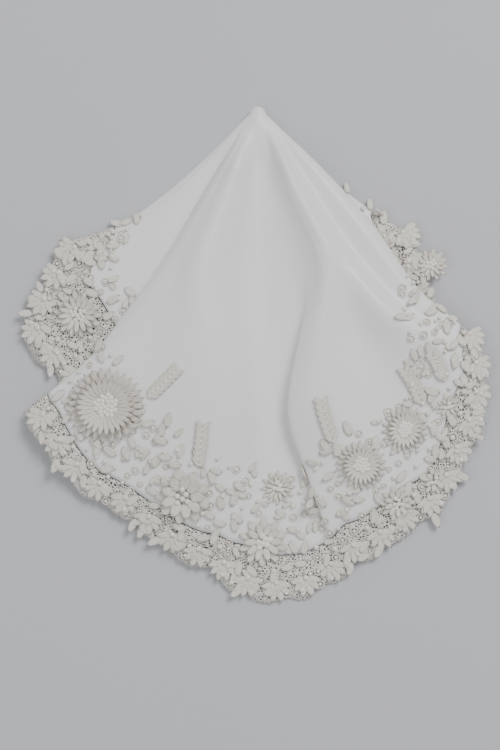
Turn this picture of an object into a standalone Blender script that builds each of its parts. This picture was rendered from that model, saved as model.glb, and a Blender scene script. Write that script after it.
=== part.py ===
"""Lace-edged handkerchief, gathered at one point and laid down as a fan of folds.

The ground cloth is one sheet.  At every distance from the gathered tip its section is a
closed back-and-forth line: along the floor, round the left side fold, across the back left
panel, back under the front panel, over the front panel's ridges and valley, round the right
side fold, in and out once more under it, and back along the floor.
"""
import math
from collections import namedtuple

import bpy
import numpy as np
from mathutils import Vector
from mathutils.bvhtree import BVHTree

MM = 0.001
CLOSEST = 0.02           # closest spacing that the smooth curves reckon with
EASE = 0.8               # how far a curve's ease follows the spacing of its points

# driving dimensions, in millimetres and degrees
SHEET = 1.0              # thickness of the ground cloth and of the lace, with its beads
GAP = 0.3                # air between two pieces
HEM_GAP = 1.5            # air between the hem and the lace, wider for the turns of the folds
TIP_Y = 126.0            # the gathered tip, before the whole is centred on its own base
TIP_HEIGHT = 5.4         # middle of the bunched cloth at the tip
TIP_HALF_HEIGHT = 4.7    # half the height of the bunch
TIP_SPREAD = 46.0        # half angle of the fan at the tip
TIP_DOME = 7.0           # the bunch reaches its full height this far from the tip
TIP_BALL = 4.0           # radius of the ball-shaped nose of the tip
BALL_TO_FAN = (2.0, 10.0)    # the nose opens into the fan between these distances
FOLDS_START = (11.0, 36.0)   # the pleats grow out of the bunch between these distances
CLOTH_ROWS = 16          # strips from the tip to the hem
LACE_ROWS = 2            # strips from the hem to the edge of the lace
STEPS = 3                # strips between two fold lines
PATCH = 1.0              # thickness of the sewn-on flowers and sprigs
NOTCH = 0.84             # how far in the outline goes between two petals or leaves
SPRIG_ROWS = 7           # strips along a sprig
SCALLOP = 3.4            # depth of the scallops along the lace
SCALLOP_LENGTH = 21.0    # length of one scallop along the lace

# The fold lines, in order round the section.  bunch is a line's place round the bunched tip,
# in degrees anticlockwise from the right.  Bearings are in degrees from the line that runs
# straight forward from the tip, towards +X; heights are of the middle of the sheet above the
# floor.  Both are given at the distances in LEVELS from the tip.  hem and edge are the
# distances to the hem of the cloth and to the outer edge of the lace along that line.
LEVELS = (40, 85, 120, 150, 190, 235)
ON_FLOOR = (SHEET / 2,) * len(LEVELS)
Fold = namedtuple("Fold", "name bunch bearings heights hem edge")
FOLDS = (
    Fold("left side fold", 184, (-46, -49, -55, -57, -58, -58), (2.1, 2.1, 2.0, 1.9, 1.9, 1.9), 93, 121),
    Fold("left side crown", 165, (-43.4, -46.8, -53.2, -55, -56, -56), (4.3, 4.0, 3.5, 3.2, 3.0, 3.0), 96, 127),
    Fold("back left panel", 153, (-38, -40, -42, -43, -43, -43), (5.2, 6.8, 6.6, 4.0, 1.6, 0.8), 124, 170),
    Fold("back left hidden", 146, (-24, -19.5, -16, -18, -22, -25), (4.1, 4.1, 3.8, 3.2, 1.6, 1.0), 150, 178),
    Fold("left pleat", 142, (-19.5, -16, -13, -15, -19, -22), (5.8, 5.9, 5.7, 5.2, 3.4, 2.8), 152, 179),
    Fold("left pleat return", 138, (-24, -19.5, -16, -18, -22, -25), (7.5, 7.7, 7.6, 7.2, 5.2, 4.6), 155, 181),
    Fold("front left edge", 134, (-31.2, -31, -32.4, -33.6, -37, -39), (9.5, 10.0, 9.6, 8.6, 6.2, 5.2), 179, 196),
    Fold("front left crown", 130, (-30, -30, -31.2, -32.4, -35.4, -37), (11.8, 12.6, 12.0, 11.0, 8.0, 6.4), 181, 199),
    Fold("first ridge flank", 122, (-25.8, -26.2, -23, -22, -22, -22), (14.6, 16.4, 17.2, 15.0, 8.2, 1.8), 200, 216),
    Fold("first ridge", 114, (-19, -20, -12.4, -9, -6.4, -6), (17.6, 21.0, 20.5, 17.6, 10.2, 2.8), 216, 236),
    Fold("first ridge fall", 106, (-11.8, -12.2, -6.4, -3.6, -2.6, -2.6), (14.6, 16.8, 15.0, 12.4, 7.2, 2.0), 220, 246),
    Fold("valley left", 97, (-5, -4.5, -2, -0.2, 0, -0.2), (8.8, 7.4, 6.6, 5.6, 3.9, 1.4), 224, 250),
    Fold("valley", 90.6, (0, 1.5, 2.8, 2.9, 2.6, 1.8), (6.2, 4.0, 3.6, 3.1, 2.5, 1.0), 226, 251),
    Fold("valley right", 80, (7, 8.4, 6.8, 6.0, 6.0, 5.0), (6.6, 5.6, 4.4, 3.5, 2.6, 1.0), 226, 250),
    Fold("roll foot", 71, (13.4, 14.6, 10.4, 8.4, 9.0, 9.2), (9.2, 9.0, 6.8, 6.0, 4.4, 1.4), 222, 244),
    Fold("roll edge", 67, (17.2, 18.4, 9.8, 5.8, 7.8, 10.0), (12.4, 13.4, 11.6, 10.6, 7.2, 2.0), 220, 242),
    Fold("second ridge", 63, (20.4, 22.2, 13.4, 9.6, 11.2, 13), (15.6, 18.6, 18.0, 16.0, 10.2, 2.4), 214, 236),
    Fold("dip", 59, (23.6, 25.6, 24.4, 25, 24, 23), (16.8, 19.0, 13.0, 9.6, 6.2, 1.6), 204, 226),
    Fold("third ridge", 54, (27.4, 29, 31.4, 37.0, 34.6, 32), (14.6, 16.0, 17.4, 12.2, 6.0, 1.2), 172, 200),
    Fold("right valley", 43, (33.6, 33.6, 35.8, 39.8, 37.6, 35), (10.8, 10.8, 11.6, 10.0, 5.2, 1.4), 160, 187),
    Fold("right crown", 27, (41, 39.8, 39.4, 41.4, 40.2, 39), (11.4, 12.6, 11.2, 8.4, 5.0, 2.6), 152, 171),
    Fold("right edge", 12, (45.8, 43.6, 41.2, 42.8, 42.4, 42), (8.2, 8.8, 8.6, 6.4, 4.6, 3.6), 150, 166),
    Fold("right edge return", 0, (37.6, 34, 33, 35.8, 38, 39), (6.9, 7.0, 6.9, 5.6, 4.0, 3.4), 141, 158),
    Fold("right pleat", -8, (34, 31, 30, 33, 36, 38), (5.0, 5.1, 4.9, 3.8, 2.4, 2.2), 136, 151),
    Fold("back right hidden", -14, (37.4, 33.8, 33, 36, 39, 41), (3.2, 3.2, 2.9, 1.9, 0.8, 0.8), 132, 147),
    Fold("back right crown", -20, (43.2, 46.6, 51.0, 52, 52, 52), (3.4, 3.3, 3.2, 3.0, 3.0, 3.0), 79, 109),
    Fold("right side fold", -26, (45, 48.6, 53.0, 54, 54, 54), (2.0, 2.0, 1.9, 1.8, 1.8, 1.8), 77, 104),
    Fold("base right", -34, (43, 46.4, 51, 52, 52, 52), ON_FLOOR, 76, 101),
    Fold("base", -90, (0, 0, 0, 0, 0, 0), ON_FLOOR, 92, 106),
    Fold("base left", -166, (-44, -46.8, -53, -55, -56, -56), ON_FLOOR, 92, 118),
)
NAMES = [fold.name for fold in FOLDS]
COUNT = len(FOLDS)
BEARINGS = np.array([fold.bearings for fold in FOLDS], float)
HEIGHTS = np.array([fold.heights for fold in FOLDS], float)
BUNCH = np.radians([fold.bunch for fold in FOLDS])

# the stretches of the sheet that are seen from above, from one fold line to another
LAYERS = {
    "back left": ("left side fold", "left pleat"),
    "front": ("front left edge", "right edge"),
    "back right": ("right pleat", "right side fold"),
}

# the flowers cut from heavier lace and sewn on: layer, bearing of the middle, its distance
# from the tip, radius, number of petals, height of the crown
Flower = namedtuple("Flower", "name layer bearing distance radius petals crown")
FLOWERS = (
    Flower("flower_back_left",   "back left",  -41.0, 138, 12.5, 10, 1.6),
    Flower("flower_great",       "front",      -26.6, 168, 19.5, 12, 2.2),
    Flower("flower_left",        "front",      -11.0, 199, 14.5, 8, 2.0),
    Flower("flower_front",       "front",        0.6, 219, 13.0, 7, 1.6),
    Flower("flower_valley",      "front",        3.0, 192, 9.0, 8, 1.0),
    Flower("flower_roll",        "front",       16.0, 187, 12.8, 12, 2.0),
    Flower("flower_right",       "front",       24.4, 178, 12.2, 12, 2.0),
    Flower("flower_right_low",   "front",       19.4, 211, 9.6, 8, 1.4),
    Flower("flower_star",        "front",       25.2, 208, 7.2, 6, 1.2),
    Flower("flower_small",       "front",       32.2, 178, 6.6, 6, 1.0),
    Flower("flower_back_right",  "back right",  47.6, 118, 8.6, 9, 1.2),
)

# the leaf sprigs sewn on above the flowers: layer, bearing and distance of the foot, length,
# width, and the way that it points, in degrees from straight back to the tip, towards +X
Sprig = namedtuple("Sprig", "name layer bearing distance length width turn")
SPRIGS = (
    Sprig("sprig_feather",      "front", -20.2, 155, 20, 6.0, 30),
    Sprig("sprig_left",         "front",  -9.6, 182, 21, 6.5, 6),
    Sprig("sprig_roll",         "front",  12.6, 172, 22, 6.0, -2),
    Sprig("sprig_right",        "front",  29.0, 170, 20, 6.0, -4),
    Sprig("sprig_edge",         "front",  34.2, 166, 14, 5.5, 4),
)


def material(name, colour, roughness):
    """A plain Principled finish."""
    made = bpy.data.materials.new(name)
    made.use_nodes = True
    shader = made.node_tree.nodes["Principled BSDF"]
    shader.inputs["Base Color"].default_value = (*colour, 1.0)
    shader.inputs["Roughness"].default_value = roughness
    shader.inputs["Metallic"].default_value = 0.0
    return made


def bend(near, gaps, t):
    """Smooth curve between the middle two of four values in a row, gaps apart, at share t."""
    slopes = [(near[k + 1] - near[k]) / gaps[k] for k in range(3)]
    start = (slopes[0] * gaps[1] + slopes[1] * gaps[0]) / (gaps[0] + gaps[1])
    end = (slopes[1] * gaps[2] + slopes[2] * gaps[1]) / (gaps[1] + gaps[2])
    rise = near[2] - near[1]
    square = 3.0 * rise - gaps[1] * (2.0 * start + end)
    cube = gaps[1] * (start + end) - 2.0 * rise
    return near[1] + t * (gaps[1] * start + t * (square + t * cube))


def at_distance(table, r):
    """Every fold line's value at the distances r: one row for each r."""
    first, last = LEVELS[0] - 30.0, LEVELS[-1] + 30.0
    knots = np.array([first, *LEVELS, last])
    wide = np.concatenate([table[:, :1], table, table[:, -1:]], axis=1).T
    r = np.clip(r, knots[1], knots[-2])
    i = np.clip(np.searchsorted(knots, r, side="right") - 1, 1, len(knots) - 3)
    near = [wide[i + k] for k in (-1, 0, 1, 2)]
    gaps = [(knots[i + k + 1] - knots[i + k])[:, None] for k in (-1, 0, 1)]
    return bend(near, gaps, ((r - knots[i]) / (knots[i + 1] - knots[i]))[:, None])


def around(places, u):
    """Places on the closed section at u, counted in fold lines: places[n, line, axis]."""
    line = np.floor(u).astype(int)
    row = np.arange(len(u))
    near = [places[row, (line + k) % COUNT] for k in (-1, 0, 1, 2)]
    gaps = [np.linalg.norm(near[k + 1] - near[k], axis=1, keepdims=True) for k in range(3)]
    gaps = [np.maximum(gap, CLOSEST) ** EASE for gap in gaps]
    return bend(near, gaps, (u - line)[:, None])


def reach(column, u):
    """The hem's or the lace edge's distance from the tip at u."""
    line = np.floor(u).astype(int)
    value = np.array([getattr(fold, column) for fold in FOLDS], float)
    start, end = value[line % COUNT], value[(line + 1) % COUNT]
    return start + (end - start) * smooth(u - line)


def smooth(x):
    x = np.clip(x, 0.0, 1.0)
    return x * x * (3.0 - 2.0 * x)


def surface(u, r):
    """Middle of the sheet at place u round the section and distance r from the tip, in mm."""
    u = np.asarray(u, float)
    r = np.asarray(r, float)
    rise = np.sqrt(1.0 - (1.0 - np.clip(r / TIP_DOME, 0.0, 1.0)) ** 2)[:, None]
    grown = smooth((r - FOLDS_START[0]) / (FOLDS_START[1] - FOLDS_START[0]))[:, None]
    bunch_bearing = TIP_SPREAD * np.cos(BUNCH)
    bunch_height = TIP_HEIGHT + TIP_HALF_HEIGHT * rise * np.sin(BUNCH)
    bearings = bunch_bearing + (at_distance(BEARINGS, r) - bunch_bearing) * grown
    heights = bunch_height + (at_distance(HEIGHTS, r) - bunch_height) * grown
    across = np.radians(bearings) * r[:, None]
    place = around(np.stack([across, heights], axis=2), u)
    bearing = place[:, 0] / np.maximum(r, CLOSEST)
    height = np.maximum(place[:, 1], SHEET / 2)
    fan = np.stack([r * np.sin(bearing), TIP_Y - r * np.cos(bearing), height], axis=1)
    circle = np.stack([np.cos(BUNCH), np.sin(BUNCH)], axis=1)
    side, up = around(np.tile(circle, (len(u), 1, 1)), u).T
    turn = np.clip(r / TIP_BALL, 0.0, math.pi / 2)
    ball = np.stack([TIP_BALL * np.sin(turn) * side,
                     TIP_Y - TIP_BALL * (1.0 - np.cos(turn)),
                     TIP_HEIGHT + TIP_BALL * np.sin(turn) * up], axis=1)
    opened = smooth((r - BALL_TO_FAN[0]) / (BALL_TO_FAN[1] - BALL_TO_FAN[0]))[:, None]
    return ball + (fan - ball) * opened


def columns_of(steps):
    """Places round the section, the same number of strips between each two fold lines."""
    return np.arange(COUNT * steps) / steps


def new_object(name, collection, mesh, finish):
    made = bpy.data.objects.new(name, mesh)
    mesh.materials.append(finish)
    collection.objects.link(made)
    return made


def sheet_object(name, collection, points, faces, finish, thickness=SHEET, offset=0.0):
    """An open surface of points in mm, thickened into a closed sheet."""
    mesh = bpy.data.meshes.new(name)
    mesh.from_pydata([tuple(p) for p in points * MM], [], faces)
    mesh.shade_smooth()
    made = new_object(name, collection, mesh, finish)
    solid = made.modifiers.new("sheet", "SOLIDIFY")
    solid.thickness = thickness * MM
    solid.offset = offset
    solid.use_even_offset = False
    solid.thickness_clamp = 1.0
    return made


def cloth(collection):
    """The ground cloth: strips from the tip to the hem, closed round the section."""
    u = columns_of(STEPS)
    hem = reach("hem", u)
    count = len(u)
    points = [surface(u[:1], np.zeros(1))]
    faces = []
    for row in range(1, CLOTH_ROWS + 1):
        points.append(surface(u, hem * (row / CLOTH_ROWS) ** 1.5))
        first = 1 + (row - 1) * count
        for i in range(count):
            j = (i + 1) % count
            if row == 1:
                faces.append((0, first + i, first + j))
            else:
                faces.append((first + i, first + j, first - count + j, first - count + i))
    finish = material("satin cloth", (0.86, 0.85, 0.84), 0.42)
    return sheet_object("cloth", collection, np.concatenate(points), faces, finish)


def lace_edging(collection):
    """The lace along the hem: a scalloped strip in the same folds as the cloth."""
    u = columns_of(STEPS)
    count = len(u)
    hem = reach("hem", u) + HEM_GAP
    edge = reach("edge", u)
    outline = surface(u, edge)
    along = np.cumsum(np.linalg.norm(np.roll(outline, -1, axis=0) - outline, axis=1))
    waves = round(along[-1] / SCALLOP_LENGTH)
    edge = edge - SCALLOP * (1.0 - np.abs(np.sin(math.pi * waves * along / along[-1])))
    points = []
    faces = []
    for row in range(LACE_ROWS + 1):
        points.append(surface(u, hem + (edge - hem) * row / LACE_ROWS))
        if row == 0:
            continue
        first = row * count
        for i in range(count):
            j = (i + 1) % count
            faces.append((first + i, first + j, first - count + j, first - count + i))
    finish = material("ivory lace", (0.85, 0.82, 0.76), 0.7)
    return sheet_object("lace_edging", collection, np.concatenate(points), faces, finish)


class Drape:
    """Lays flat outlines on the cloth: a is along the section, c away from the tip, in mm."""

    def __init__(self, layer, bearing, distance):
        first, last = (NAMES.index(name) for name in LAYERS[layer])
        places = np.linspace(first, last, 40 * (last - first) + 1)
        points = surface(places, np.full(len(places), float(distance)))
        bearings = np.degrees(np.arctan2(points[:, 0], TIP_Y - points[:, 1]))
        self.place = places[np.argmin(np.abs(bearings - bearing))]
        self.distance = distance
        self.places = np.linspace(self.place - 4.0, self.place + 4.0, 241)

    def where(self, a, c):
        """Place round the section and distance from the tip of the flat point (a, c)."""
        r = self.distance + c
        line = surface(self.places, np.full(len(self.places), r))
        steps = np.linalg.norm(np.diff(line, axis=0), axis=1)
        along = np.concatenate([[0.0], np.cumsum(steps)])
        along -= np.interp(self.place, self.places, along)
        return np.interp(a, along, self.places), r

    def lay(self, flat, heights):
        """Points over the middle of the sheet for the flat points, at their heights."""
        found = np.array([self.where(a, c) for a, c in flat])
        u, r = found[:, 0], found[:, 1]
        across = surface(u + 0.01, r) - surface(u - 0.01, r)
        along = surface(u, r + 0.5) - surface(u, r - 0.5)
        normal = np.cross(along, across)
        normal /= np.linalg.norm(normal, axis=1, keepdims=True)
        return surface(u, r) + normal * np.asarray(heights)[:, None]


def evaluated(thing):
    return thing.evaluated_get(bpy.context.evaluated_depsgraph_get())


def middle_tree(objects):
    """Search tree of the middles of the sheets, in mm."""
    points = []
    faces = []
    for thing in objects:
        first = len(points)
        points += [vertex.co / MM for vertex in thing.data.vertices]
        faces += [[first + i for i in face.vertices] for face in thing.data.polygons]
    return BVHTree.FromPolygons(points, faces)


def air_under(thing, tree):
    """Least distance from the shape down to the sheet's face, less than nothing below it."""
    mesh = bpy.data.meshes.new_from_object(evaluated(thing))
    samples = [vertex.co / MM for vertex in mesh.vertices]
    samples += [face.center / MM for face in mesh.polygons]
    for edge in mesh.edges:
        ends = [mesh.vertices[i].co / MM for i in edge.vertices]
        samples.append((ends[0] + ends[1]) / 2)
    bpy.data.meshes.remove(mesh)
    least = 1.0
    for sample in samples:
        spot, normal, _, distance = tree.find_nearest(sample)
        side = math.copysign(1.0, (sample - spot).dot(normal))
        least = min(least, side * distance - SHEET / 2)
    return least


def sewn_on(name, collection, drape, flat, heights, faces, finish, tree):
    """A sewn-on piece, raised until it clears the cloth and the lace by the gap."""
    lift = SHEET / 2 + GAP
    for _ in range(8):
        points = drape.lay(flat, np.asarray(heights) + lift)
        made = sheet_object(name, collection, points, faces, finish, PATCH, 1.0)
        air = air_under(made, tree)
        if air >= GAP:
            return made
        mesh = made.data
        bpy.data.objects.remove(made)
        bpy.data.meshes.remove(mesh)
        lift += GAP - air + 0.02
    raise RuntimeError(f"{name} doesn't clear the cloth")


def flower(collection, row, finish, tree):
    """A domed flower with a scalloped outline: a middle, and one ring of petals round it."""
    flat = [(0.0, 0.0)]
    heights = [row.crown]
    faces = []
    sectors = 2 * row.petals
    for ring, (share, height) in enumerate(((0.5, 0.75), (1.0, 0.0))):
        for i in range(sectors):
            turn = 2.0 * math.pi * i / sectors
            notch = 1.0 if i % 2 == 0 else NOTCH
            radius = row.radius * share * (notch if ring else 1.0)
            flat.append((radius * math.sin(turn), -radius * math.cos(turn)))
            heights.append(row.crown * height)
    for i in range(sectors):
        j = (i + 1) % sectors
        inner_i, inner_j, outer_i, outer_j = 1 + i, 1 + j, 1 + sectors + i, 1 + sectors + j
        faces.append((0, inner_j, inner_i))
        faces.append((inner_i, inner_j, outer_j, outer_i))
    drape = Drape(row.layer, row.bearing, row.distance)
    return sewn_on(row.name, collection, drape, flat, heights, faces, finish, tree)


def sprig(collection, row, finish, tree):
    """A leafy sprig: a narrow strip that swells and draws in, raised along its stem."""
    turn = math.radians(row.turn)
    ahead = (math.sin(turn), -math.cos(turn))
    beside = (math.cos(turn), math.sin(turn))
    flat = []
    heights = []
    faces = []
    for i in range(SPRIG_ROWS + 1):
        t = i / SPRIG_ROWS
        half = row.width / 2 * (0.25 + 0.75 * math.sin(math.pi * t) ** 0.6)
        half *= 1.0 if i % 2 else NOTCH
        for side in (-1, 0, 1):
            flat.append(tuple(row.length * t * ahead[k] + side * half * beside[k]
                              for k in (0, 1)))
            heights.append(0.4 if side == 0 else 0.0)
        if i == 0:
            continue
        first = 3 * i
        for j in (0, 1):
            faces.append((first + j - 3, first + j - 2, first + j + 1, first + j))
    drape = Drape(row.layer, row.bearing, row.distance)
    return sewn_on(row.name, collection, drape, flat, heights, faces, finish, tree)


def centre_on_base(collection):
    """Moves the pieces so that the origin is under the middle of them all."""
    corners = []
    for thing in collection.objects:
        corners += [Vector(corner) for corner in evaluated(thing).bound_box]
    low = [min(corner[k] for corner in corners) for k in range(3)]
    high = [max(corner[k] for corner in corners) for k in range(3)]
    move = Vector((-(low[0] + high[0]) / 2, -(low[1] + high[1]) / 2, -low[2]))
    for thing in collection.objects:
        thing.location = move


def build():
    for thing in list(bpy.data.objects):
        bpy.data.objects.remove(thing, do_unlink=True)
    parts = bpy.data.collections.new("lace handkerchief")
    bpy.context.scene.collection.children.link(parts)
    tree = middle_tree([cloth(parts), lace_edging(parts)])
    heavy = material("raised lace", (0.88, 0.85, 0.79), 0.65)
    for row in FLOWERS:
        flower(parts, row, heavy, tree)
    for row in SPRIGS:
        sprig(parts, row, heavy, tree)
    centre_on_base(parts)


build()
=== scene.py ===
"""Looks of the lace-edged handkerchief: satin cloth, lace net, petals, leaves, rings and pearls."""
import math

import bmesh
import bpy
import numpy as np
from mathutils import Matrix, Vector


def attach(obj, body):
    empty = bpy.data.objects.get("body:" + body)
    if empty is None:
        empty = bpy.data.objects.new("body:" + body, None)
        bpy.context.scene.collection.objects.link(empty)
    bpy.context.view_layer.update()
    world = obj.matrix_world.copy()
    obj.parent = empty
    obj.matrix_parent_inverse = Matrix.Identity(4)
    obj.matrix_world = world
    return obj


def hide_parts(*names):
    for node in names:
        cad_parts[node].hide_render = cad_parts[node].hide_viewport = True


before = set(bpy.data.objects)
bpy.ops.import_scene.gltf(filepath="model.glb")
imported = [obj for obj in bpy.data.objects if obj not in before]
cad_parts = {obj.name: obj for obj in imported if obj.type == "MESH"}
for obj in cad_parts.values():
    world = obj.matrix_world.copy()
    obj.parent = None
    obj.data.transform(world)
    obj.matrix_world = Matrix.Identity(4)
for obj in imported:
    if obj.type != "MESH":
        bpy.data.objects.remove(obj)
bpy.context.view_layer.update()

MM = 0.001
CLOSEST = 0.02
EASE = 0.8
SHEET = 1.0              # thickness of the part's sheets
CLOTH = 0.8              # thickness of the satin as shown
NET = 0.4                # thickness of the net as shown
HEM_GAP = 0.6
TIP_X = 1.712            # the gathered tip in the part's frame
TIP_Y = 124.911
TIP_HEIGHT = 5.4
TIP_HALF_HEIGHT = 4.7
TIP_SPREAD = 46.0
TIP_DOME = 7.0
TIP_BALL = 4.0
BALL_TO_FAN = (2.0, 10.0)
FOLDS_START = (11.0, 36.0)
SCALLOP = 3.4
SCALLOP_LENGTH = 21.0
LEVELS = (40, 85, 120, 150, 190, 235)
FLOOR_LINE = (SHEET / 2,) * 6

# fold lines round the section: place round the tip, bearings, heights, hem, lace edge
FOLDS = (
    (184, (-46, -49, -55, -57, -58, -58), (2.1, 2.1, 2.0, 1.9, 1.9, 1.9), 93, 121),
    (165, (-43.4, -46.8, -53.2, -55, -56, -56), (4.3, 4.0, 3.5, 3.2, 3.0, 3.0), 96, 127),
    (153, (-38, -40, -42, -43, -43, -43), (5.2, 6.8, 6.6, 4.0, 1.6, 0.8), 124, 170),
    (146, (-24, -19.5, -16, -18, -22, -25), (4.1, 4.1, 3.8, 3.2, 1.6, 1.0), 150, 178),
    (142, (-19.5, -16, -13, -15, -19, -22), (5.8, 5.9, 5.7, 5.2, 3.4, 2.8), 152, 179),
    (138, (-24, -19.5, -16, -18, -22, -25), (7.5, 7.7, 7.6, 7.2, 5.2, 4.6), 155, 181),
    (134, (-31.2, -31, -32.4, -33.6, -37, -39), (9.5, 10.0, 9.6, 8.6, 6.2, 5.2), 179, 196),
    (130, (-30, -30, -31.2, -32.4, -35.4, -37), (11.8, 12.6, 12.0, 11.0, 8.0, 6.4), 181, 199),
    (122, (-25.8, -26.2, -23, -22, -22, -22), (14.6, 16.4, 17.2, 15.0, 8.2, 1.8), 200, 216),
    (114, (-19, -20, -12.4, -9, -6.4, -6), (17.6, 21.0, 20.5, 17.6, 10.2, 2.8), 216, 236),
    (106, (-11.8, -12.2, -6.4, -3.6, -2.6, -2.6), (14.6, 16.8, 15.0, 12.4, 7.2, 2.0), 220, 246),
    (97, (-5, -4.5, -2, -0.2, 0, -0.2), (8.8, 7.4, 6.6, 5.6, 3.9, 1.4), 224, 250),
    (90.6, (0, 1.5, 2.8, 2.9, 2.6, 1.8), (6.2, 4.0, 3.6, 3.1, 2.5, 1.0), 226, 251),
    (80, (7, 8.4, 6.8, 6.0, 6.0, 5.0), (6.6, 5.6, 4.4, 3.5, 2.6, 1.0), 226, 250),
    (71, (13.4, 14.6, 10.4, 8.4, 9.0, 9.2), (9.2, 9.0, 6.8, 6.0, 4.4, 1.4), 222, 244),
    (67, (17.2, 18.4, 9.8, 5.8, 7.8, 10.0), (12.4, 13.4, 11.6, 10.6, 7.2, 2.0), 220, 242),
    (63, (20.4, 22.2, 13.4, 9.6, 11.2, 13), (15.6, 18.6, 18.0, 16.0, 10.2, 2.4), 214, 236),
    (59, (23.6, 25.6, 24.4, 25, 24, 23), (16.8, 19.0, 13.0, 9.6, 6.2, 1.6), 204, 226),
    (54, (27.4, 29, 31.4, 37.0, 34.6, 32), (14.6, 16.0, 17.4, 12.2, 6.0, 1.2), 172, 200),
    (43, (33.6, 33.6, 35.8, 39.8, 37.6, 35), (10.8, 10.8, 11.6, 10.0, 5.2, 1.4), 160, 187),
    (27, (41, 39.8, 39.4, 41.4, 40.2, 39), (11.4, 12.6, 11.2, 8.4, 5.0, 2.6), 152, 171),
    (12, (45.8, 43.6, 41.2, 42.8, 42.4, 42), (8.2, 8.8, 8.6, 6.4, 4.6, 3.6), 150, 166),
    (0, (37.6, 34, 33, 35.8, 38, 39), (6.9, 7.0, 6.9, 5.6, 4.0, 3.4), 141, 158),
    (-8, (34, 31, 30, 33, 36, 38), (5.0, 5.1, 4.9, 3.8, 2.4, 2.2), 136, 151),
    (-14, (37.4, 33.8, 33, 36, 39, 41), (3.2, 3.2, 2.9, 1.9, 0.8, 0.8), 132, 147),
    (-20, (43.2, 46.6, 51.0, 52, 52, 52), (3.4, 3.3, 3.2, 3.0, 3.0, 3.0), 79, 109),
    (-26, (45, 48.6, 53.0, 54, 54, 54), (2.0, 2.0, 1.9, 1.8, 1.8, 1.8), 77, 104),
    (-34, (43, 46.4, 51, 52, 52, 52), FLOOR_LINE, 76, 101),
    (-90, (0, 0, 0, 0, 0, 0), FLOOR_LINE, 92, 106),
    (-166, (-44, -46.8, -53, -55, -56, -56), FLOOR_LINE, 92, 118),
)
COUNT = len(FOLDS)
BUNCH = np.radians([fold[0] for fold in FOLDS])
BEARINGS = np.array([fold[1] for fold in FOLDS], float)
HEIGHTS = np.array([fold[2] for fold in FOLDS], float)
HEM = np.array([fold[3] for fold in FOLDS], float)
EDGE = np.array([fold[4] for fold in FOLDS], float)
BACK_LEFT = (0.0, 3.4)
FRONT = (6.0, 21.0)
BACK_RIGHT = (23.8, 26.0)

# flowers: layer, bearing, distance, radius, petals, petal width, pearls, pearl radius, crown
FLOWERS = (
    (BACK_LEFT, -41.0, 138, 12.5, 14, 0.30, 12, 1.2, 1.4),
    (FRONT, -26.6, 168, 19.5, 28, 0.22, 26, 1.5, 2.2),
    (FRONT, -11.0, 199, 14.5, 9, 0.55, 6, 1.5, 1.8),
    (FRONT, 0.6, 219, 13.0, 10, 0.42, 7, 1.8, 1.4),
    (FRONT, 3.0, 192, 9.0, 12, 0.28, 5, 1.4, 1.0),
    (FRONT, 16.0, 187, 12.8, 22, 0.22, 18, 1.3, 1.8),
    (FRONT, 24.4, 178, 12.2, 20, 0.24, 20, 1.3, 1.8),
    (FRONT, 19.4, 211, 9.6, 10, 0.40, 6, 1.2, 1.2),
    (FRONT, 25.2, 208, 7.2, 6, 0.50, 3, 1.2, 1.0),
    (FRONT, 32.2, 178, 6.6, 8, 0.40, 4, 1.1, 0.9),
    (BACK_RIGHT, 47.6, 118, 8.6, 12, 0.32, 8, 1.2, 1.0),
)

# leaf sprigs: layer, bearing, distance of the foot, length, turn from straight back to the tip
SPRIGS = (
    (FRONT, -20.2, 155, 20, 30),
    (FRONT, -9.6, 182, 21, 6),
    (FRONT, 12.6, 172, 22, -2),
    (FRONT, 29.0, 170, 20, -4),
    (FRONT, 34.2, 166, 14, 4),
)


def smooth(x):
    x = np.clip(x, 0.0, 1.0)
    return x * x * (3.0 - 2.0 * x)


def bend(near, gaps, t):
    """Smooth curve between the middle two of four values in a row, gaps apart."""
    slopes = [(near[k + 1] - near[k]) / gaps[k] for k in range(3)]
    start = (slopes[0] * gaps[1] + slopes[1] * gaps[0]) / (gaps[0] + gaps[1])
    end = (slopes[1] * gaps[2] + slopes[2] * gaps[1]) / (gaps[1] + gaps[2])
    rise = near[2] - near[1]
    square = 3.0 * rise - gaps[1] * (2.0 * start + end)
    cube = gaps[1] * (start + end) - 2.0 * rise
    return near[1] + t * (gaps[1] * start + t * (square + t * cube))


def at_distance(table, r):
    """Every fold line's value at the distances r."""
    knots = np.array([LEVELS[0] - 30.0, *LEVELS, LEVELS[-1] + 30.0])
    wide = np.concatenate([table[:, :1], table, table[:, -1:]], axis=1).T
    r = np.clip(r, knots[1], knots[-2])
    i = np.clip(np.searchsorted(knots, r, side="right") - 1, 1, len(knots) - 3)
    near = [wide[i + k] for k in (-1, 0, 1, 2)]
    gaps = [(knots[i + k + 1] - knots[i + k])[:, None] for k in (-1, 0, 1)]
    return bend(near, gaps, ((r - knots[i]) / (knots[i + 1] - knots[i]))[:, None])


def around(places, u):
    """Places on the closed section at u, counted in fold lines."""
    line = np.floor(u).astype(int)
    row = np.arange(len(u))
    near = [places[row, (line + k) % COUNT] for k in (-1, 0, 1, 2)]
    gaps = [np.linalg.norm(near[k + 1] - near[k], axis=1, keepdims=True) for k in range(3)]
    gaps = [np.maximum(gap, CLOSEST) ** EASE for gap in gaps]
    return bend(near, gaps, (u - line)[:, None])


def reach(value, u):
    line = np.floor(u).astype(int)
    start, end = value[line % COUNT], value[(line + 1) % COUNT]
    return start + (end - start) * smooth(u - line)


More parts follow.
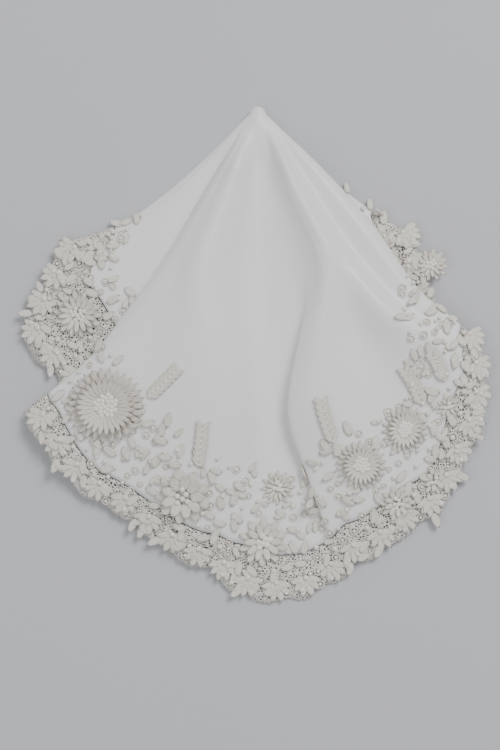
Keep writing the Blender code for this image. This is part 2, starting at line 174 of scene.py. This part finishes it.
def surface(u, r):
    """Middle of the sheet at place u round the section and distance r from the tip, in mm."""
    u = np.asarray(u, float)
    r = np.asarray(r, float)
    rise = np.sqrt(1.0 - (1.0 - np.clip(r / TIP_DOME, 0.0, 1.0)) ** 2)[:, None]
    grown = smooth((r - FOLDS_START[0]) / (FOLDS_START[1] - FOLDS_START[0]))[:, None]
    bunch_bearing = TIP_SPREAD * np.cos(BUNCH)
    bunch_height = TIP_HEIGHT + TIP_HALF_HEIGHT * rise * np.sin(BUNCH)
    bearings = bunch_bearing + (at_distance(BEARINGS, r) - bunch_bearing) * grown
    heights = bunch_height + (at_distance(HEIGHTS, r) - bunch_height) * grown
    across = np.radians(bearings) * r[:, None]
    place = around(np.stack([across, heights], axis=2), u)
    bearing = place[:, 0] / np.maximum(r, CLOSEST)
    height = np.maximum(place[:, 1], SHEET / 2)
    fan = np.stack([TIP_X + r * np.sin(bearing), TIP_Y - r * np.cos(bearing), height], axis=1)
    circle = np.stack([np.cos(BUNCH), np.sin(BUNCH)], axis=1)
    side, up = around(np.tile(circle, (len(u), 1, 1)), u).T
    turn = np.clip(r / TIP_BALL, 0.0, math.pi / 2)
    ball = np.stack([TIP_X + TIP_BALL * np.sin(turn) * side,
                     TIP_Y - TIP_BALL * (1.0 - np.cos(turn)),
                     TIP_HEIGHT + TIP_BALL * np.sin(turn) * up], axis=1)
    opened = smooth((r - BALL_TO_FAN[0]) / (BALL_TO_FAN[1] - BALL_TO_FAN[0]))[:, None]
    return ball + (fan - ball) * opened


def frames(u, r):
    """Place, direction across, direction away from the tip and upward normal at (u, r)."""
    across = surface(u + 0.01, r) - surface(u - 0.01, r)
    along = surface(u, r + 0.5) - surface(u, r - 0.5)
    normal = np.cross(along, across)
    across, along, normal = (v / np.maximum(np.linalg.norm(v, axis=1, keepdims=True), 1e-9)
                             for v in (across, along, normal))
    return surface(u, r), across, along, normal


class Shade:
    """A socket of a shader tree; arithmetic on it adds Math nodes."""

    def __init__(self, tree, socket=None):
        self.tree = tree
        self.socket = socket

    def node(self, kind, settings, inputs, output=0):
        made = self.tree.nodes.new(kind)
        for name, value in settings.items():
            setattr(made, name, value)
        for name, value in inputs.items():
            feed(self.tree, made.inputs[name], value)
        return Shade(self.tree, made.outputs[output])

    def maths(self, operation, first, second):
        return self.node("ShaderNodeMath", {"operation": operation}, {0: first, 1: second})

    def __add__(self, other):
        return self.maths("ADD", self, other)

    def __sub__(self, other):
        return self.maths("SUBTRACT", self, other)

    def __rsub__(self, other):
        return self.maths("SUBTRACT", other, self)

    def __mul__(self, other):
        return self.maths("MULTIPLY", self, other)

    __radd__ = __add__
    __rmul__ = __mul__


def feed(tree, socket, value):
    if isinstance(value, Shade):
        tree.links.new(value.socket, socket)
    else:
        socket.default_value = value


def finish(name, colour, dark, roughness, bump, scale, coat=0.0, sheen=0.0, net=False):
    """A finish whose colour runs softly from dark to colour, with a fine bump."""
    made = bpy.data.materials.new(name)
    made.use_nodes = True
    tree = made.node_tree
    shader = tree.nodes["Principled BSDF"]
    start = Shade(tree)
    place = start.node("ShaderNodeTexCoord", {}, {}, "Object")
    noise = start.node("ShaderNodeTexNoise", {}, {"Vector": place, "Scale": scale, "Detail": 3.0})
    mixed = start.node("ShaderNodeMix", {"data_type": "RGBA"},
                       {0: noise, 6: (*dark, 1.0), 7: (*colour, 1.0)}, 2)
    feed(tree, shader.inputs["Base Color"], mixed)
    feed(tree, shader.inputs["Roughness"], roughness + 0.1 * noise)
    relief = start.node("ShaderNodeBump", {},
                        {"Strength": bump, "Distance": 0.0002, "Height": noise})
    feed(tree, shader.inputs["Normal"], relief)
    shader.inputs["Coat Weight"].default_value = coat
    shader.inputs["Sheen Weight"].default_value = sheen
    if net:
        flat = start.node("ShaderNodeUVMap", {"uv_map": "flat"}, {})
        cell = start.node("ShaderNodeTexVoronoi", {"feature": "DISTANCE_TO_EDGE"},
                          {"Vector": flat, "Scale": 0.75})
        thread = start.maths("LESS_THAN", cell, 0.16)
        feed(tree, shader.inputs["Alpha"], thread)
    return made


SATIN = finish("satin cloth", (0.90, 0.895, 0.89), (0.86, 0.855, 0.855), 0.36, 0.05, 400, 0.0, 0.3)
LACE_NET = finish("lace net", (0.86, 0.83, 0.77), (0.72, 0.68, 0.60), 0.7, 0.3, 900, net=True)
RAISED = finish("raised lace", (0.90, 0.87, 0.81), (0.70, 0.64, 0.54), 0.6, 0.5, 700)
PEARL = finish("pearl", (0.95, 0.92, 0.86), (0.86, 0.79, 0.68), 0.16, 0.0, 300, 0.6)


def grid_mesh(name, points, faces, thickness, material, flat=None):
    """An open surface in mm, thickened into a closed sheet with its finish."""
    mesh = bpy.data.meshes.new(name)
    mesh.from_pydata([tuple(p) for p in points * MM], [], faces)
    if flat is not None:
        layer = mesh.uv_layers.new(name="flat")
        for loop in mesh.loops:
            layer.data[loop.index].uv = flat[loop.vertex_index]
    made = bpy.data.objects.new(name, mesh)
    bpy.context.scene.collection.objects.link(made)
    solid = made.modifiers.new("sheet", "SOLIDIFY")
    solid.thickness = thickness * MM
    solid.offset = 0.0
    solid.thickness_clamp = 1.0
    return plain(made, material)


def plain(thing, material):
    """The evaluated object as a plain mesh, without its modifiers."""
    seen = thing.evaluated_get(bpy.context.evaluated_depsgraph_get())
    mesh = bpy.data.meshes.new_from_object(seen)
    thing.modifiers.clear()
    thing.data = mesh
    mesh.materials.clear()
    mesh.materials.append(material)
    mesh.shade_smooth()
    return thing


def cloth():
    u = np.arange(COUNT * 9) / 9
    hem = reach(HEM, u)
    rows, count = 110, len(u)
    points = [surface(u[:1], np.zeros(1))]
    faces = []
    for row in range(1, rows + 1):
        points.append(surface(u, hem * (row / rows) ** 1.5))
        first = 1 + (row - 1) * count
        for i in range(count):
            j = (i + 1) % count
            if row == 1:
                faces.append((0, first + i, first + j))
            else:
                faces.append((first + i, first + j, first - count + j, first - count + i))
    return grid_mesh("satin_cloth", np.concatenate(points), faces, CLOTH, SATIN)


def lace_net():
    u = np.arange(COUNT * 12) / 12
    count, rows = len(u), 6
    hem = reach(HEM, u) + HEM_GAP
    edge = reach(EDGE, u)
    outline = surface(u, edge)
    along = np.cumsum(np.linalg.norm(np.roll(outline, -1, axis=0) - outline, axis=1))
    waves = round(along[-1] / SCALLOP_LENGTH)
    edge = edge - SCALLOP * (1.0 - np.abs(np.sin(math.pi * waves * along / along[-1])))
    points, flat, faces = [], [], []
    for row in range(rows + 1):
        r = hem + (edge - hem) * row / rows
        points.append(surface(u, r))
        flat += list(zip(along, r))
        if row:
            first = row * count
            for i in range(count):
                j = (i + 1) % count
                faces.append((first + i, first + j, first - count + j, first - count + i))
    return grid_mesh("lace_net", np.concatenate(points), faces, NET, LACE_NET, flat)


def blade(name, width, rows=6, columns=4):
    """A leaf or petal one unit long: raised rim and middle vein, closed underneath."""
    points, faces = [], []
    for under in (False, True):
        for i in range(rows + 1):
            t = i / rows
            half = width / 2 * (0.12 + math.sin(math.pi * t ** 0.85) ** 0.7)
            for j in range(columns + 1):
                s = 2 * j / columns - 1
                high = 0.03 if under else 0.09 + 0.07 * abs(math.cos(math.pi * s))
                points.append((half * s, t, high * (0.5 if under else 1.0)))
    wide = columns + 1
    under = (rows + 1) * wide
    for i in range(rows):
        for j in range(columns):
            a, b, c, d = (i * wide + j, i * wide + j + 1, (i + 1) * wide + j + 1, (i + 1) * wide + j)
            faces.append((a, b, c, d))
            faces.append((under + d, under + c, under + b, under + a))
    rim = [j for j in range(wide)] + [i * wide + columns for i in range(1, rows + 1)]
    rim += [rows * wide + j for j in range(columns - 1, -1, -1)]
    rim += [i * wide for i in range(rows - 1, 0, -1)]
    for k, here in enumerate(rim):
        after = rim[(k + 1) % len(rim)]
        faces.append((after, here, under + here, under + after))
    return shape(name, points, faces)


def ring(name, turns=12, sides=4, thick=0.24):
    points, faces = [], []
    for i in range(turns):
        a = 2 * math.pi * i / turns
        for j in range(sides):
            b = 2 * math.pi * j / sides
            far = 1.0 + thick * math.cos(b)
            points.append((far * math.cos(a), far * math.sin(a), thick * math.sin(b)))
            k, m = (i + 1) % turns, (j + 1) % sides
            faces.append((i * sides + j, k * sides + j, k * sides + m, i * sides + m))
    return shape(name, points, faces)


def shape(name, points, faces):
    mesh = bpy.data.meshes.new(name)
    mesh.from_pydata(points, [], faces)
    return bpy.data.objects.new(name, mesh)


def bead(name):
    mesh = bpy.data.meshes.new(name)
    made = bmesh.new()
    bmesh.ops.create_icosphere(made, subdivisions=2, radius=1.0)
    made.to_mesh(mesh)
    made.free()
    return bpy.data.objects.new(name, mesh)


def copies_tree():
    """Puts a shape on every point, turned and sized by the point's own values."""
    tree = bpy.data.node_groups.new("copies", "GeometryNodeTree")
    face = tree.interface
    face.new_socket(name="Points", in_out="INPUT", socket_type="NodeSocketGeometry")
    face.new_socket(name="Shape", in_out="INPUT", socket_type="NodeSocketObject")
    face.new_socket(name="Finish", in_out="INPUT", socket_type="NodeSocketMaterial")
    face.new_socket(name="Copies", in_out="OUTPUT", socket_type="NodeSocketGeometry")
    new, link = tree.nodes.new, tree.links.new
    given, out = new("NodeGroupInput"), new("NodeGroupOutput")
    info, put = new("GeometryNodeObjectInfo"), new("GeometryNodeInstanceOnPoints")
    turned, real = new("FunctionNodeEulerToRotation"), new("GeometryNodeRealizeInstances")
    dressed = new("GeometryNodeSetMaterial")
    read = {}
    for name in ("turn", "size"):
        read[name] = new("GeometryNodeInputNamedAttribute")
        read[name].data_type = "FLOAT_VECTOR"
        read[name].inputs["Name"].default_value = name
    link(given.outputs["Shape"], info.inputs["Object"])
    link(given.outputs["Points"], put.inputs["Points"])
    link(info.outputs["Geometry"], put.inputs["Instance"])
    link(read["turn"].outputs["Attribute"], turned.inputs["Euler"])
    link(turned.outputs["Rotation"], put.inputs["Rotation"])
    link(read["size"].outputs["Attribute"], put.inputs["Scale"])
    link(put.outputs["Instances"], real.inputs["Geometry"])
    link(real.outputs["Geometry"], dressed.inputs["Geometry"])
    link(given.outputs["Finish"], dressed.inputs["Material"])
    link(dressed.outputs["Geometry"], out.inputs["Copies"])
    return tree


COPIES = copies_tree()


class Scatter:
    """Copies of one shape, laid on the cloth."""

    def __init__(self, name, form, material):
        self.name, self.form, self.material = name, form, material
        self.rows = []

    def add(self, u, r, turn, lift, size, tilt=0.0):
        self.rows.append((u, r, turn, lift, *size, tilt))

    def make(self):
        rows = np.array(self.rows, float)
        place, across, along, normal = frames(rows[:, 0], rows[:, 1])
        place = (place + normal * (CLOTH / 2 + rows[:, 3:4])) * MM
        turns = []
        for k, row in enumerate(rows):
            ahead = math.sin(row[2]) * Vector(across[k]) + math.cos(row[2]) * Vector(along[k])
            up = Vector(normal[k])
            ahead = (ahead - up * ahead.dot(up)).normalized()
            side = ahead.cross(up)
            matrix = Matrix((side, ahead, up)).transposed() @ Matrix.Rotation(row[7], 3, "X")
            turns.append(tuple(matrix.to_euler()))
        mesh = bpy.data.meshes.new(self.name)
        mesh.from_pydata([tuple(p) for p in place], [], [])
        for name, values in (("turn", turns), ("size", rows[:, 4:7] * MM)):
            layer = mesh.attributes.new(name, "FLOAT_VECTOR", "POINT")
            layer.data.foreach_set("vector", np.array(values, np.float32).ravel())
        made = bpy.data.objects.new(self.name, mesh)
        bpy.context.scene.collection.objects.link(made)
        modifier = made.modifiers.new("copies", "NODES")
        modifier.node_group = COPIES
        ids = {item.name: item.identifier for item in COPIES.interface.items_tree}
        modifier[ids["Shape"]] = self.form
        modifier[ids["Finish"]] = self.material
        return plain(made, self.material)


class Spot:
    """Turns flat places round a point of the cloth into places on its section."""

    def __init__(self, layer, bearing, distance):
        places = np.linspace(*layer, int(40 * (layer[1] - layer[0])) + 1)
        points = surface(places, np.full(len(places), float(distance)))
        bearings = np.degrees(np.arctan2(points[:, 0] - TIP_X, TIP_Y - points[:, 1]))
        self.place = places[np.argmin(np.abs(bearings - bearing))]
        self.distance = float(distance)
        self.places = np.linspace(self.place - 4.0, self.place + 4.0, 161)

    def where(self, a, c):
        r = self.distance + c
        line = surface(self.places, np.full(len(self.places), r))
        steps = np.linalg.norm(np.diff(line, axis=0), axis=1)
        along = np.concatenate([[0.0], np.cumsum(steps)])
        along -= np.interp(self.place, self.places, along)
        return float(np.interp(a, along, self.places)), r


petals = Scatter("lace_petals", blade("petal form", 0.36), RAISED)
leaves = Scatter("lace_leaves", blade("leaf form", 0.42), RAISED)
rings = Scatter("cord_rings", ring("ring form"), RAISED)
pearls = Scatter("pearls", bead("pearl form"), PEARL)


def flower(layer, bearing, distance, radius, count, width, beads, bead_radius, crown):
    spot = Spot(layer, bearing, distance)
    for level, (inner, length, lift, tilt) in enumerate(
            ((0.40, 0.60, 0.1, 0.10), (0.24, 0.56, 0.35, 0.28))):
        for i in range(count):
            turn = 2 * math.pi * (i + 0.5 * level) / count
            u, r = spot.where(radius * inner * math.sin(turn), radius * inner * math.cos(turn))
            long = radius * length
            petals.add(u, r, turn, lift + crown * 0.3 * level,
                       (long * width / 0.36, long, long * 0.9), tilt)
    golden = math.pi * (3 - math.sqrt(5))
    for i in range(beads):
        far = radius * 0.30 * math.sqrt((i + 0.4) / beads)
        u, r = spot.where(far * math.sin(i * golden), far * math.cos(i * golden))
        pearls.add(u, r, 0.0, crown * 0.7 + 0.4 * bead_radius, (bead_radius,) * 3)
    return frames(np.array([spot.place]), np.array([spot.distance]))[0][0]


def sprig(layer, bearing, distance, length, turn):
    spot = Spot(layer, bearing, distance)
    lean = math.radians(turn)
    for i in range(7):
        far = length * i / 7
        u, r = spot.where(far * math.sin(lean), -far * math.cos(lean))
        for side in (-1, 1):
            leaves.add(u, r, math.pi - lean + side * 0.65, 0.4, (5.5, 5.5, 5.0), 0.1)
        pearls.add(u, r, 0.0, 0.9, (0.8,) * 3)


centres = [(flower(*row), row[3]) for row in FLOWERS]
for row in SPRIGS:
    sprig(*row)

random = np.random.default_rng(7)


def fill(layer, depth, step):
    """Small leaves, rings and pearls over the lace, from depth inside the hem to its edge."""
    first, last = layer
    for far in np.arange(0.0, 1.0, 0.11):
        u = np.linspace(first, last, 400)
        start = reach(HEM, u) - depth
        r = start + (reach(EDGE, u) - 4.0 - start) * far
        line = surface(u, r)
        along = np.concatenate([[0], np.cumsum(np.linalg.norm(np.diff(line, axis=0), axis=1))])
        for spot in np.arange(step / 2 + (far * 37 % 1) * step, along[-1], step):
            here = spot + random.uniform(-0.25, 0.25) * step
            place_u = float(np.interp(here, along, u))
            place_r = float(np.interp(here, along, r)) + random.uniform(-1.2, 1.2)
            kind, turn = random.uniform(), random.uniform(0, 2 * math.pi)
            size = random.uniform(0.8, 1.2)
            at = frames(np.array([place_u]), np.array([place_r]))[0][0]
            if any(np.linalg.norm(at - centre) < 0.85 * radius for centre, radius in centres):
                continue
            if kind < 0.55:
                leaves.add(place_u, place_r, turn, 0.15, (7 * size, 7 * size, 6 * size), 0.08)
            elif kind < 0.78:
                rings.add(place_u, place_r, turn, 0.3, (1.7 * size,) * 3)
                pearls.add(place_u, place_r, 0.0, 0.6, (0.8 * size,) * 3)
            else:
                pearls.add(place_u, place_r, 0.0, 0.9, (1.2 * size,) * 3)


def outline_sprays(layer, step):
    """Fans of leaves that stand out round the edge of the lace."""
    u = np.linspace(*layer, 600)
    r = reach(EDGE, u) - 11.0
    line = surface(u, r)
    along = np.concatenate([[0], np.cumsum(np.linalg.norm(np.diff(line, axis=0), axis=1))])
    for here in np.arange(step / 2, along[-1], step):
        place_u = float(np.interp(here, along, u))
        place_r = float(np.interp(here, along, r))
        for k in range(6):
            turn = math.radians(-75 + 30 * k)
            long = 10.5 - 0.9 * abs(k - 2.5)
            leaves.add(place_u, place_r, turn, 0.2, (long * 0.8, long, 6.0), 0.03)
        pearls.add(place_u, place_r, 0.0, 1.0, (1.4,) * 3)


fill(FRONT, 38.0, 6.0)
fill(BACK_LEFT, 14.0, 6.0)
fill(BACK_RIGHT, 14.0, 6.0)
for layer in (BACK_LEFT, FRONT, BACK_RIGHT):
    outline_sprays(layer, 15.0)

satin = cloth()
net = lace_net()
made = {scatter.name: scatter.make() for scatter in (petals, leaves, rings, pearls)}

node_names = list(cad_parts)
for thing, slot in ((satin, "cloth"), (net, "lace"), (made["lace_petals"], "raised_lace"),
                    (made["lace_leaves"], "raised_lace"), (made["cord_rings"], "raised_lace"),
                    (made["pearls"], "pearl")):
    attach(thing, "root")
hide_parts("cloth")
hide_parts("lace_edging")
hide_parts(*[name for name in node_names if name.startswith("flower_")])
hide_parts(*[name for name in node_names if name.startswith("sprig_")])

floor_mesh = bpy.data.meshes.new("floor")
floor_mesh.from_pydata([(-4, -4, 0), (4, -4, 0), (4, 4, 0), (-4, 4, 0)], [], [(0, 1, 2, 3)])
floor = bpy.data.objects.new("floor", floor_mesh)
bpy.context.scene.collection.objects.link(floor)
floor_finish = bpy.data.materials.new("pale floor")
floor_finish.use_nodes = True
floor_shader = floor_finish.node_tree.nodes["Principled BSDF"]
floor_shader.inputs["Base Color"].default_value = (0.56, 0.565, 0.585, 1.0)
floor_shader.inputs["Roughness"].default_value = 0.8
floor_mesh.materials.append(floor_finish)


def area_light(name, place, aim, size, power):
    data = bpy.data.lights.new(name, "AREA")
    data.size = size
    data.energy = power
    thing = bpy.data.objects.new(name, data)
    thing.location = place
    thing.rotation_euler = (Vector(aim) - Vector(place)).to_track_quat("-Z", "Y").to_euler()
    bpy.context.scene.collection.objects.link(thing)


area_light("key", (0.7, 0.9, 1.4), (0, 0, 0), 0.7, 22)
area_light("fill", (-1.0, -0.5, 1.6), (0, 0, 0), 1.6, 8)
world = bpy.data.worlds.new("soft room")
world.use_nodes = True
world.node_tree.nodes["Background"].inputs["Color"].default_value = (0.95, 0.96, 1.0, 1.0)
world.node_tree.nodes["Background"].inputs["Strength"].default_value = 0.5
bpy.context.scene.world = world

lens = bpy.data.cameras.new("camera")
lens.lens = 120
lens.sensor_width = 36
lens.sensor_fit = "HORIZONTAL"
camera = bpy.data.objects.new("camera", lens)
camera.location = (-0.0023, -0.0101, 0.8433)
bpy.context.scene.collection.objects.link(camera)
bpy.context.scene.camera = camera
